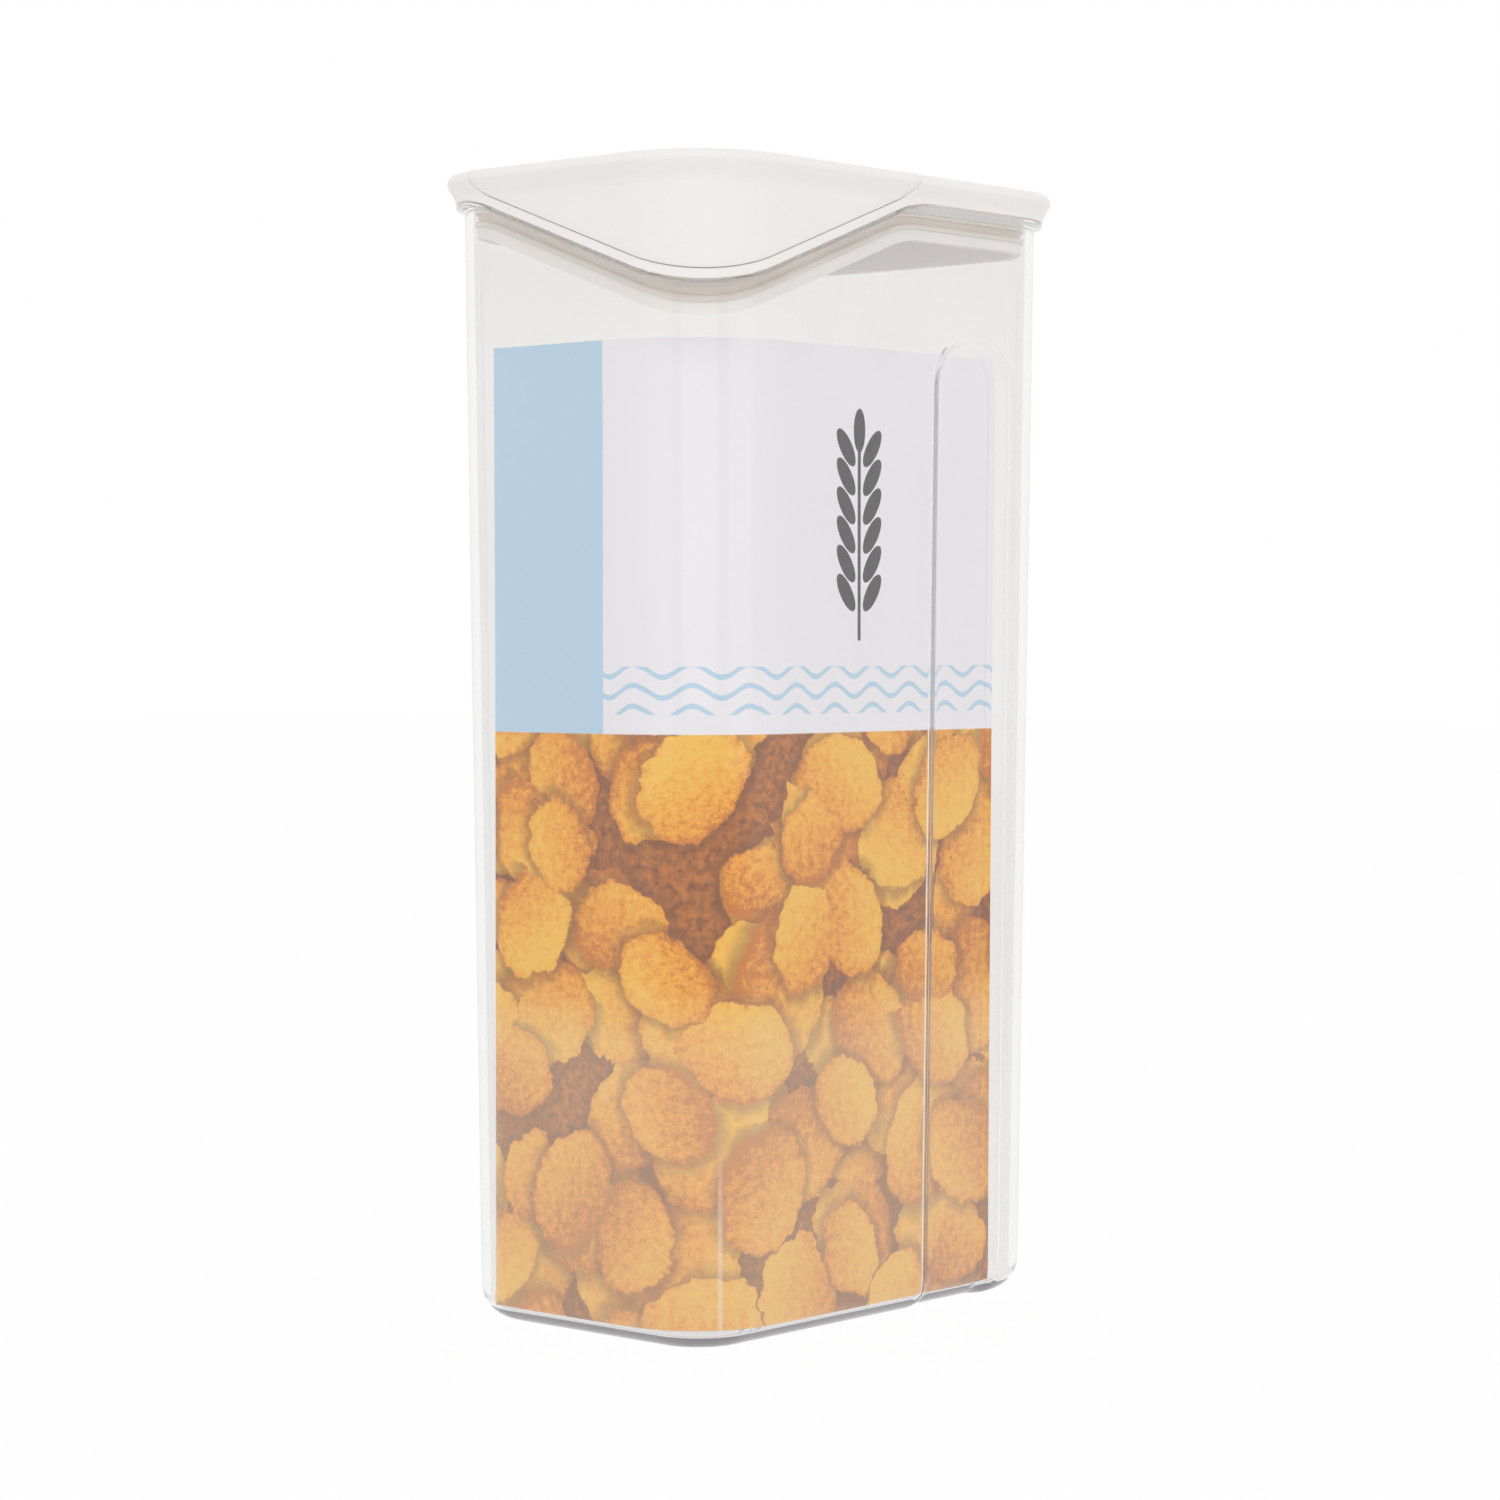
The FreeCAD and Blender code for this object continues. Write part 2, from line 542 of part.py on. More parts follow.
# Flap seal: a flat ring under the skirt, lying on the deck round the pour mouth
flap_seal_wall = cut("flap_seal_wall",
                     mouth_prism("flap_seal_out", "(%s + flap_seal_overlap)" % SKIRT_OUTSIDE),
                     mouth_prism("flap_seal_in", "(skirt_offset - flap_seal_overlap)"))
flap_seal_layer = cut("flap_seal_layer", above_rim("flap_seal_bottom", SEAL_UNDERSIDE), skirt_bottom)
flap_gasket = common("flap_gasket", flap_seal_wall, flap_seal_layer)

# Card insert: stands upright inside the tub, bent once round the pour corner, clear of the front grip bump
card_outline = new_sketch("card_outline", height="card_bottom")
card_front = line(card_outline, (50, -39), (-34, -39))
card_bend = arc(card_outline, (-34, -9), 30, 180, 270)
card_left = line(card_outline, (-64, -9), (-64, 33))
left_end = line(card_outline, (-64, 33), (-63, 33))
inner_left = line(card_outline, (-63, 33), (-63, -9))
inner_bend = arc(card_outline, (-34, -9), 29, 180, 270)
inner_front = line(card_outline, (-34, -38), (50, -38))
front_end = line(card_outline, (50, -38), (50, -39))
join_ends(card_outline, card_front, 2, card_bend, 2, "Tangent")
join_ends(card_outline, card_bend, 1, card_left, 1, "Tangent")
join_ends(card_outline, card_left, 2, left_end, 1)
join_ends(card_outline, left_end, 2, inner_left, 1)
join_ends(card_outline, inner_left, 2, inner_bend, 1, "Tangent")
join_ends(card_outline, inner_bend, 2, inner_front, 1, "Tangent")
join_ends(card_outline, inner_front, 2, front_end, 1)
join_ends(card_outline, front_end, 2, card_front, 1)
join_ends(card_outline, card_bend, 3, inner_bend, 3)
for side in (card_front, inner_front, left_end):
    card_outline.addConstraint(Sketcher.Constraint("Horizontal", side))
for side in (card_left, inner_left, front_end):
    card_outline.addConstraint(Sketcher.Constraint("Vertical", side))
constrain(card_outline, "card_corner_radius", "Radius", card_bend, 30.0)
constrain(card_outline, "card_thickness", "DistanceX", card_left, 2, inner_left, 1, 1.0)
constrain(card_outline, "%s / 2 - %s" % (WALL_LENGTH, CARD_FACE), "DistanceX", card_left, 1, -1, 1, 64.0)
constrain(card_outline, "%s / 2 - %s" % (WALL_WIDTH, CARD_FACE), "DistanceY", card_front, 1, -1, 1, 39.0)
constrain(card_outline, "card_left_end", "DistanceY", -1, 1, card_left, 2, 33.0)
constrain(card_outline, "card_front_end", "DistanceX", -1, 1, card_front, 1, 50.0)
label_insert = extrude("label_insert", card_outline, "%s - card_drop - card_bottom" % RIM_HEIGHT)

doc.recompute()
for item in doc.Objects:
    if "Invalid" in item.State or "Error" in item.State:
        raise RuntimeError("not built: " + item.Label)

os.makedirs("parts", exist_ok=True)
for node in (container_body, lid_frame, lid_gasket, corner_flap, flap_gasket, label_insert):
    if node.Shape.isNull() or not node.Shape.isValid() or len(node.Shape.Solids) != 1:
        raise RuntimeError("not one valid solid: " + node.Label)
    node.Shape.exportStep("parts/%s.step" % node.Label)
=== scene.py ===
import bmesh
import bpy
import math
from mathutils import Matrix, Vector


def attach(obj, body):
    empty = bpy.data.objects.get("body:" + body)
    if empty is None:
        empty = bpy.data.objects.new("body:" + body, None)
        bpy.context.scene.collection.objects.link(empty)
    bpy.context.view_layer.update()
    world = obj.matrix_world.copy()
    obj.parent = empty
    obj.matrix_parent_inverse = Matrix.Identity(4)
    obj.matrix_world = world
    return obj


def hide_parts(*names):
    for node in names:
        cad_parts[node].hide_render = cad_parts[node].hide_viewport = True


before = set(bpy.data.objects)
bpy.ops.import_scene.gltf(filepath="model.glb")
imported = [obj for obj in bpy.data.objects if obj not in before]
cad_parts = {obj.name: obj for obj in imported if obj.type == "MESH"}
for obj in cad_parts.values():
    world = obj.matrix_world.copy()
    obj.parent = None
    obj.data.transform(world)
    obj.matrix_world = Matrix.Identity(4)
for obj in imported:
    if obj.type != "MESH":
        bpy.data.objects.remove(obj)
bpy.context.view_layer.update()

# Tub: one clear injection moulding with drafted walls, a rounded base and a thin rim flange that dips at the
# pour corner. A shallow grip groove with soft edges runs up each long side. It stands free on its base.
# Sizes of pieces are in millimetres all through, and MM turns them into metres.
MM = 0.001
TOTAL_HEIGHT = 295.0
WALL_LENGTH = 146.4
WALL_WIDTH = 96.4
TOP_RADIUS = 22.8
WALL_DRAFT = 4.1
WALL = 2.4
FLOOR = 3.0
BASE_RADIUS = 9.0
BASE_INNER_RADIUS = 3.5
BASE_FLAT_INSETS = (18.0, 13.0)
RIM_HEIGHT = 287.65
RIM_THICKNESS = 1.3
RIM_OVERHANG = 2.15
RIM_GAP = 0.15
RIM_EDGE = ((0.5, 0.0), (0.12, 0.15), (0.0, 0.5))
RIM_FILLET = ((0.0, 0.6), (0.2, 0.15), (0.7, 0.0))
RIM_INNER_EDGE_END = 0.6
POUR_START = 31.95
POUR_TILT = math.radians(27.6)
CREASE_RADIUS = 20.0
DIP_FROM = 190.0
DIP_END_GAP = 1.0
GROOVE_MIDDLE = 33.2
GROOVE_HALF = 16.25
GROOVE_DROP = 30.1
GROOVE_CENTRE = RIM_HEIGHT - GROOVE_DROP - GROOVE_HALF
GROOVE_DEPTH = 2.2
GROOVE_SIDE = 4.9
GROOVE_FADE_FROM = 28.0
GROOVE_FADE_TO = 36.0
TUB_STEPS = 640
WALL_ROW = 16.0
ARCH_ROW = 0.8
TOP_ROW = 3.0
BASE_MARGIN = 4.0
ARCH_MARGIN_BELOW = 4.0
ARCH_MARGIN_ABOVE = 1.0
RIM_MARGIN = 1.2
ROUND_STEP = 9
SHARP_EDGE = math.radians(40)
CLEAR_TINT = (0.905, 0.90, 0.89)
CLEAR_TINT_THICK = (0.92, 0.915, 0.905)
# Grey for rays long caught in the clear wall: painted shade along its edges and groove lines.
EDGE_PAINTED_SHADE = (0.62, 0.61, 0.62)
CAUGHT_BOUNCES = 4.5


class Socket:
    """One output of a node tree. Sums and products of sockets add the nodes that work them out."""

    def __init__(self, tree, output):
        self.tree = tree
        self.output = output

    def node(self, kind, settings, inputs, result=0):
        """Adds a node: its settings first, then the values or links of its inputs."""
        added = self.tree.nodes.new(kind)
        for name, value in settings.items():
            if name == "stops":
                set_stops(added.color_ramp, value)
            else:
                setattr(added, name, value)
        for name, value in inputs.items():
            if isinstance(value, Socket):
                self.tree.links.new(value.output, added.inputs[name])
            else:
                added.inputs[name].default_value = value
        return Socket(self.tree, added.outputs[result])

    def math(self, operation, *values):
        return self.node("ShaderNodeMath", {"operation": operation}, dict(enumerate(values)))

    def vector(self, operation, *values):
        return self.node("ShaderNodeVectorMath", {"operation": operation}, dict(enumerate(values)))

    def __add__(self, other):
        return self.math("ADD", self, other)

    def __radd__(self, other):
        return self.math("ADD", other, self)

    def __sub__(self, other):
        return self.math("SUBTRACT", self, other)

    def __rsub__(self, other):
        return self.math("SUBTRACT", other, self)

    def __mul__(self, other):
        return self.math("MULTIPLY", self, other)

    def __rmul__(self, other):
        return self.math("MULTIPLY", other, self)

    def __truediv__(self, other):
        return self.math("DIVIDE", self, other)

    def __rtruediv__(self, other):
        return self.math("DIVIDE", other, self)

    def __gt__(self, other):
        return self.math("GREATER_THAN", self, other)

    def absolute(self):
        return self.math("ABSOLUTE", self)

    def larger(self, other):
        return self.math("MAXIMUM", self, other)

    def ramp(self, low, high):
        """Runs smoothly from 0 to 1 while this value goes from low to high."""
        inputs = {"Value": self, "From Min": low, "From Max": high}
        return self.node("ShaderNodeMapRange", {"interpolation_type": "SMOOTHSTEP"}, inputs)

    def mix(self, first, second):
        """Blends two colours with this value as the share of the second."""
        first = (*first, 1) if isinstance(first, tuple) else first
        second = (*second, 1) if isinstance(second, tuple) else second
        inputs = {0: self, 6: first, 7: second}
        return self.node("ShaderNodeMix", {"data_type": "RGBA"}, inputs, 2)

    def clamped(self, low, high):
        """Keeps this value between two others."""
        return self.math("MINIMUM", self.larger(low), high)

    def root(self):
        return self.math("SQRT", self)

    def noise(self, scale, detail=3.0, rough=0.5, result=0):
        """Reads noise at this place."""
        inputs = {"Vector": self, "Scale": scale, "Detail": detail, "Roughness": rough}
        return self.node("ShaderNodeTexNoise", {}, inputs, result)

    def parts(self):
        """Splits a vector into its three values."""
        first = self.node("ShaderNodeSeparateXYZ", {}, {0: self})
        outputs = first.output.node.outputs
        return [Socket(self.tree, output) for output in outputs]

    def joined(self, second, third=0.0):
        """Joins this value with others into a vector."""
        return self.node("ShaderNodeCombineXYZ", {}, {0: self, 1: second, 2: third})


def set_stops(ramp, stops):
    """Sets a colour ramp's stops from pairs of place and colour."""
    while len(ramp.elements) < len(stops):
        ramp.elements.new(0.5)
    for element, (place, colour) in zip(ramp.elements, stops):
        element.position = place
        element.color = (*colour, 1)


def start_material(name, **constants):
    """Makes a node material and gives it, its shader node and the place on the surface."""
    material = bpy.data.materials.new(name)
    material.use_nodes = True
    tree = material.node_tree
    shader = tree.nodes["Principled BSDF"]
    for words, value in constants.items():
        shader.inputs[words.replace("_", " ")].default_value = value
    place = Socket(tree, tree.nodes.new("ShaderNodeTexCoord").outputs["Object"])
    return material, shader, place


def feed(shader, name, value):
    value.tree.links.new(value.output, shader.inputs[name])


def feed_bump(shader, height, strength, distance):
    """Feeds a height into the shader's normal."""
    inputs = {"Strength": strength, "Distance": distance, "Height": height}
    feed(shader, "Normal", height.node("ShaderNodeBump", {}, inputs))


def sweep_tree():
    """Builds the tree that sweeps a profile round the tub's outline, with the draft, dip and grooves.

    The profile is drawn with x as the way out from the wall's top outline and minus y as the height.
    """
    tree = bpy.data.node_groups.new("rim_sweep", "GeometryNodeTree")
    tree.interface.new_socket("Profile", in_out="INPUT", socket_type="NodeSocketGeometry")
    tree.interface.new_socket("Steps", in_out="INPUT", socket_type="NodeSocketInt")
    for name in ("Length", "Width", "Corner Radius", "Draft", "Draft Height", "Rim Height", "Pour Start",
                 "Pour Slope", "Crease Start", "Crease Radius", "Crease Reach", "Dip From", "Dip To",
                 "Rake", "Groove Middle", "Groove Half", "Groove Centre", "Groove Depth", "Groove Side"):
        tree.interface.new_socket(name, in_out="INPUT", socket_type="NodeSocketFloat")
    tree.interface.new_socket("Material", in_out="INPUT", socket_type="NodeSocketMaterial")
    tree.interface.new_socket("Piece", in_out="OUTPUT", socket_type="NodeSocketGeometry")
    group = tree.nodes.new("NodeGroupInput")
    given = {output.name: Socket(tree, output) for output in group.outputs if output.name}
    swept = swept_profile(given)
    moved = swept.node("GeometryNodeSetPosition", {}, {"Geometry": swept, "Position": wall_place(given)})
    plain = moved.node("GeometryNodeRealizeInstances", {}, {0: moved})
    painted = plain.node("GeometryNodeSetMaterial", {},
                         {"Geometry": plain, "Material": given["Material"]})
    result = tree.nodes.new("NodeGroupOutput")
    tree.links.new(painted.output, result.inputs[0])
    return tree


def swept_profile(given):
    """Sweeps the profile round the rounded rectangle of the wall's top."""
    profile = given["Profile"]
    path = profile.node("GeometryNodeCurvePrimitiveQuadrilateral", {},
                        {"Width": given["Length"], "Height": given["Width"]})
    path = path.node("GeometryNodeFilletCurve", {"mode": "POLY"},
                     {"Curve": path, "Radius": given["Corner Radius"], "Count": 40})
    path = path.node("GeometryNodeResampleCurve", {}, {"Curve": path, "Count": given["Steps"]})
    path = path.node("GeometryNodeSetCurveNormal", {"mode": "Z_UP"}, {"Curve": path})
    section = profile.node("GeometryNodeMeshToCurve", {}, {"Mesh": profile})
    return path.node("GeometryNodeCurveToMesh", {}, {"Curve": path, "Profile Curve": section})


def wall_place(given):
    """Works out where a swept point lies: down with the rim's dip, in with the draft and the groove."""
    place = given["Steps"].node("GeometryNodeInputPosition", {}, {})
    x, y, z = place.parts()
    across = (x + y) * math.sqrt(0.5) - given["Rake"] * (given["Rim Height"] - z)
    past = (given["Crease Start"] - across).clamped(0.0, given["Crease Reach"])
    radius = given["Crease Radius"]
    bend = radius - (radius * radius - past * past).root()
    dip = bend.larger((across + given["Pour Start"]) * given["Pour Slope"] * -1.0)
    dip_zone = {"Value": z, "From Min": given["Dip From"], "From Max": given["Dip To"]}
    share = z.node("ShaderNodeMapRange", {}, dip_zone)
    z = z - dip * share

    half_length = given["Length"] / 2 - given["Corner Radius"]
    half_width = given["Width"] / 2 - given["Corner Radius"]
    out_x = x - x.clamped(0 - half_length, half_length)
    out_y = y - y.clamped(0 - half_width, half_width)
    inwards = given["Draft"] * (1 - z / given["Draft Height"]) / (out_x * out_x + out_y * out_y).root()

    aside = x - given["Groove Middle"]
    above = (z - given["Groove Centre"]).clamped(0.0, 1.0)
    within = given["Groove Half"] - (aside * aside + above * above).root()
    side = (within / given["Groove Side"]).clamped(0.0, 1.0)
    groove = (side + side.ramp(0.0, 1.0)) / 2 * given["Groove Depth"]
    beside = y.absolute().ramp(GROOVE_FADE_FROM * MM, GROOVE_FADE_TO * MM) * y.math("SIGN", y)
    return (x - out_x * inwards).joined(y - out_y * inwards - groove * beside, z)


rim_sweep = sweep_tree()
WALL_SIZES = {
    "Length": WALL_LENGTH * MM, "Width": WALL_WIDTH * MM, "Corner Radius": TOP_RADIUS * MM,
    "Draft": WALL_DRAFT * MM, "Draft Height": TOTAL_HEIGHT * MM, "Rim Height": RIM_HEIGHT * MM,
    "Pour Start": POUR_START * MM, "Pour Slope": math.tan(POUR_TILT),
    "Crease Start": (CREASE_RADIUS * math.tan(POUR_TILT / 2) - POUR_START) * MM,
    "Crease Radius": CREASE_RADIUS * MM, "Crease Reach": CREASE_RADIUS * math.sin(POUR_TILT) * MM,
    "Groove Middle": GROOVE_MIDDLE * MM, "Groove Half": GROOVE_HALF * MM,
    "Groove Centre": GROOVE_CENTRE * MM, "Groove Side": GROOVE_SIDE * MM,
}


def sweep_round(name, profile, closed, sizes, material):
    """Sweeps a profile of (inset, height) points round the tub's outline, open ends filled."""
    count = len(profile)
    points = [(-inset * MM, -height * MM, 0) for inset, height in profile]
    edges = [(index, (index + 1) % count) for index in range(count if closed else count - 1)]
    drawn = bpy.data.meshes.new(name + "_profile")
    drawn.from_pydata(points, edges, [])
    holder = bpy.data.objects.new(name + "_profile", drawn)
    bpy.context.scene.collection.objects.link(holder)
    modifier = holder.modifiers.new("sweep", "NODES")
    modifier.node_group = rim_sweep
    values = {**WALL_SIZES, **sizes, "Material": material}
    for item in rim_sweep.interface.items_tree:
        if item.in_out == "INPUT" and item.name in values:
            modifier[item.identifier] = values[item.name]
    evaluated = holder.evaluated_get(bpy.context.evaluated_depsgraph_get())
    swept = bpy.data.meshes.new_from_object(evaluated)
    bpy.data.objects.remove(holder)
    mesh = bmesh.new()
    mesh.from_mesh(swept)
    bmesh.ops.holes_fill(mesh, edges=[edge for edge in mesh.edges if edge.is_boundary])
    return mesh


def spaced(start, end, step):
    """Lists evenly spaced values from start to end, about a step apart, both ends included."""
    count = max(1, round(abs(end - start) / step))
    return [start + (end - start) * index / count for index in range(count + 1)]


def base_edge(radius, inset, height):
    """Lists the quarter round of a base edge, from the flat up to the wall."""
    turns = [math.radians(angle) for angle in spaced(0, 90, ROUND_STEP)]
    return [(inset + radius * (1 - math.sin(turn)), height + radius * (1 - math.cos(turn))) for turn in turns]


def wall_rows():
    """Lists heights up the wall, close together where the arch of the groove is."""
    arch_low = GROOVE_CENTRE - ARCH_MARGIN_BELOW
    arch_high = GROOVE_CENTRE + GROOVE_HALF + ARCH_MARGIN_ABOVE
    rows = spaced(BASE_RADIUS + BASE_MARGIN, arch_low, WALL_ROW)[:-1]
    rows += spaced(arch_low, arch_high, ARCH_ROW)[:-1]
    return rows + spaced(arch_high, RIM_HEIGHT - RIM_THICKNESS - RIM_MARGIN, TOP_ROW)


def tub_profile():
    """Lists inset from the outer face and height: up the outside, over the rim and down to the floor."""
    top = RIM_HEIGHT - RIM_GAP
    under = RIM_HEIGHT - RIM_THICKNESS
    profile = [(inset, 0) for inset in BASE_FLAT_INSETS]
    profile += base_edge(BASE_RADIUS, 0, 0)
    profile += [(0, height) for height in wall_rows()]
    profile += [(-out, under - drop) for out, drop in RIM_FILLET]
    profile += [(inset - RIM_OVERHANG, under + rise) for inset, rise in RIM_EDGE]
    profile += [(inset - RIM_OVERHANG, top - drop) for inset, drop in reversed(RIM_EDGE)]
    profile += [(WALL - inset, top - drop) for inset, drop in RIM_EDGE[:2]]
    profile += [(WALL, under + RIM_INNER_EDGE_END)]
    profile += [(WALL, height) for height in reversed(wall_rows())]
    profile += reversed(base_edge(BASE_INNER_RADIUS, WALL, FLOOR))
    return profile + [(inset, FLOOR) for inset in reversed(BASE_FLAT_INSETS)]


def add_piece(name, data, material):
    """Adds an object of one material to the scene."""
    data.materials.clear()
    data.materials.append(material)
    piece = bpy.data.objects.new(name, data)
    bpy.context.scene.collection.objects.link(piece)
    return piece


def finish_object(name, mesh, material):
    """Makes an object of a built mesh, smooth shaded with its sharp edges kept."""
    bmesh.ops.recalc_face_normals(mesh, faces=mesh.faces)
    data = bpy.data.meshes.new(name)
    mesh.to_mesh(data)
    mesh.free()
    data.shade_smooth()
    data.set_sharp_from_angle(angle=SHARP_EDGE)
    return add_piece(name, data, material)


clear_plastic, shader, place = start_material("clear_plastic", Transmission_Weight=1.0, IOR=1.49)
feed(shader, "Base Color", place.noise(14, 2).ramp(0.3, 0.7).mix(CLEAR_TINT, CLEAR_TINT_THICK))
feed(shader, "Roughness", 0.012 + 0.02 * place.noise(60, 4))
feed_bump(shader, place.noise(9, 1), 0.02, 0.004)


def let_light_through(material):
    """Lets light for what stands inside pass straight through, and paints shade where light is long caught in
    a wall.
    """
    tree = material.node_tree
    path = tree.nodes.new("ShaderNodeLightPath")
    glassy = Socket(tree, tree.nodes["Principled BSDF"].outputs[0])
    # Rays caught longer than this in a wall go through a grey transparent: painted shade along the wall's
    # edges and groove lines.
    caught = Socket(tree, path.outputs["Ray Depth"]) > CAUGHT_BOUNCES
    edge = caught.node("ShaderNodeBsdfTransparent", {}, {"Color": (*EDGE_PAINTED_SHADE, 1)})
    glassy = caught.node("ShaderNodeMixShader", {}, {0: caught, 1: glassy, 2: edge})
    passing = Socket(tree, path.outputs["Is Shadow Ray"])
    passing = passing.larger(Socket(tree, path.outputs["Is Diffuse Ray"]))
    clear = passing.node("ShaderNodeBsdfTransparent", {}, {})
    blend = passing.node("ShaderNodeMixShader", {}, {0: passing, 1: glassy, 2: clear})
    tree.links.new(blend.output, tree.nodes["Material Output"].inputs["Surface"])


let_light_through(clear_plastic)

tub_sizes = {
    "Steps": TUB_STEPS, "Rake": 0.0, "Groove Depth": GROOVE_DEPTH * MM,
    "Dip From": DIP_FROM * MM, "Dip To": (RIM_HEIGHT - RIM_THICKNESS - DIP_END_GAP) * MM,
}
tub_mesh = sweep_round("clear_tub", tub_profile(), False, tub_sizes, clear_plastic)
tub = finish_object("clear_tub", tub_mesh, clear_plastic)
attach(tub, "container")
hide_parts("container_body")

# Card insert: a coated printed card, bent once round the pour corner and stood upright inside the tub.
# Its print is a pale panel with a sprig over a field of golden grain, with a blue band at its left end.
CARD_LEFT = 64.2
CARD_FRONT = 39.2
CARD_BEND = 30.0
CARD_LEFT_END = 32.7
CARD_FRONT_END = 50.0
CARD_BOTTOM = 4.4
CARD_TOP = 250.75
CARD_THICKNESS = 0.4
CARD_GAP = 0.35
CARD_ROW = 5.0
CARD_COLUMN = 3.0
BEND_STEP = 3
RIPPLE = 0.35
RIPPLE_LENGTH = 7.0
RIPPLE_FROM = 215.0
RIPPLE_RUN = 40.0
CARD_BAND_END = 39.0
FIELD_TOP = 152.3
PRINT_EDGE = 0.4
PANEL_WHITE = (0.92, 0.90, 0.96)
BAND_BLUE = (0.51, 0.71, 0.89)
INK_GREY = (0.05, 0.045, 0.05)
GRAIN_GAP = (0.22, 0.06, 0.005)
GRAIN_SHADE = (0.64, 0.19, 0.008)
GRAIN_GOLD = (0.94, 0.37, 0.012)
GRAIN_LIGHT = (0.99, 0.56, 0.06)
# This colour and the three values after it set a painted reflection, pale and low on the grain field.
GRAIN_PAINTED_REFLECTION = (0.95, 0.80, 0.62)
REFLECTION_FULL_BELOW = 70.0
REFLECTION_TOP = 92.0
REFLECTION_SHARE = 0.22
# These five values set a painted highlight: a pale line down the middle of the card's bend, strongest low
# down.
BEND_HIGHLIGHT_LINE = 70.5
HIGHLIGHT_FULL_BELOW = 25.0
HIGHLIGHT_TOP = 60.0
HIGHLIGHT_SHARE = 0.4
HIGHLIGHT_PALE = (0.97, 0.88, 0.80)
CARD_BACK = (0.84, 0.83, 0.81)


def soft_step(value):
    """Runs smoothly from 0 to 1 as the value does."""
    value = min(1.0, max(0.0, value))
    return value * value * (3 - 2 * value)


def add_ring_faces(mesh, rings):
    """Joins neighbouring rings of points with four-sided faces."""
    count = len(rings[0])
    for lower, upper in zip(rings, rings[1:]):
        for index in range(count):
            following = (index + 1) % count
            mesh.faces.new((lower[index], lower[following], upper[following], upper[index]))


def card_path():
    """Lists length along the card, point and way out, from its left end round to its front end."""
    straight_left = CARD_LEFT_END + CARD_FRONT - CARD_BEND
    bend_x = CARD_BEND - CARD_LEFT
    bend_y = CARD_BEND - CARD_FRONT
    path = []
    for along in spaced(0, straight_left, CARD_COLUMN)[:-1]:
        path.append((along, -CARD_LEFT, CARD_LEFT_END - along, -1, 0))
    for angle in spaced(180, 270, BEND_STEP):
        turn = math.radians(angle)
        along = straight_left + CARD_BEND * (turn - math.pi)
        out_x, out_y = math.cos(turn), math.sin(turn)
        path.append((along, bend_x + CARD_BEND * out_x, bend_y + CARD_BEND * out_y, out_x, out_y))
    bend_end = path[-1][0]
    for x in spaced(bend_x, CARD_FRONT_END, CARD_COLUMN)[1:]:
        path.append((bend_end + x - bend_x, x, -CARD_FRONT, 0, -1))
    return path


def card_ring(mesh, length_layer, station):
    """Adds the points of one upright slice of the card: up its printed face and down its back."""
    along, x, y, out_x, out_y = station
    heights = spaced(CARD_BOTTOM, CARD_TOP, CARD_ROW)
    outline = [(height, 0.0) for height in heights]
    outline += [(height, CARD_THICKNESS) for height in reversed(heights)]
    ring = []
    for height, inset in outline:
        ripple = RIPPLE * math.sin(along / RIPPLE_LENGTH) * soft_step((height - RIPPLE_FROM) / RIPPLE_RUN)
        depth = inset + CARD_GAP + ripple
        point = mesh.verts.new(((x - out_x * depth) * MM, (y - out_y * depth) * MM, height * MM))
        point[length_layer] = along
        ring.append(point)
    return ring


def write_card_map(mesh, length_layer):
    """Writes length along the card and height, in metres, as the card's own map."""
    layer = mesh.loops.layers.uv.new("card_map")
    for face in mesh.faces:
        for corner in face.loops:
            corner[layer].uv = (corner.vert[length_layer] * MM, corner.vert.co.z)


GRAIN_LAYERS = (
    (36.0, (11.0, 3.0, 0.0)),
    (33.0, (140.0, 61.0, 0.0)),
    (38.0, (71.0, 205.0, 0.0)),
    (35.0, (310.0, 17.0, 0.0)),
)
GRAIN_SCATTER = 0.8
GRAIN_NARROWING = 1.7
GRAIN_SMALLEST = 0.36
GRAIN_SPREAD = 0.16
GRAIN_EDGE = 0.012
GRAIN_SHADOW = 0.16
CRINKLE = 7.0


def grain_layer(flat, size, shift, crinkle):
    """Scatters one layer of lens-shaped grains, each with a soft shadow round it."""
    moved = flat.vector("ADD", flat, shift)
    warped = moved.vector("ADD", moved, crinkle)
    inputs = {"Vector": warped, "Scale": 1 / size, "Randomness": GRAIN_SCATTER}
    cells = flat.node("ShaderNodeTexVoronoi", {"voronoi_dimensions": "2D"}, inputs, "Color")
    centre = Socket(flat.tree, cells.output.node.outputs["Position"])
    chance = cells.parts()
    spin = {"Vector": warped.vector("SUBTRACT", warped, centre), "Angle": chance[0] * math.tau}
    local = flat.node("ShaderNodeVectorRotate", {"rotation_type": "Z_AXIS"}, spin)
    along, aside, _ = local.parts()
    reach = (along * along + aside * aside * GRAIN_NARROWING).root() / size
    radius = GRAIN_SMALLEST + GRAIN_SPREAD * chance[1]
    inside = 1 - reach.ramp(radius - GRAIN_EDGE, radius + GRAIN_EDGE)
    shadow = 1 - (reach - radius).ramp(0.0, GRAIN_SHADOW)
    lift = aside * (0.9 / size) + along * (0.4 / size) + chance[2] * 0.35 + 0.42
    return inside, shadow, lift, reach / radius


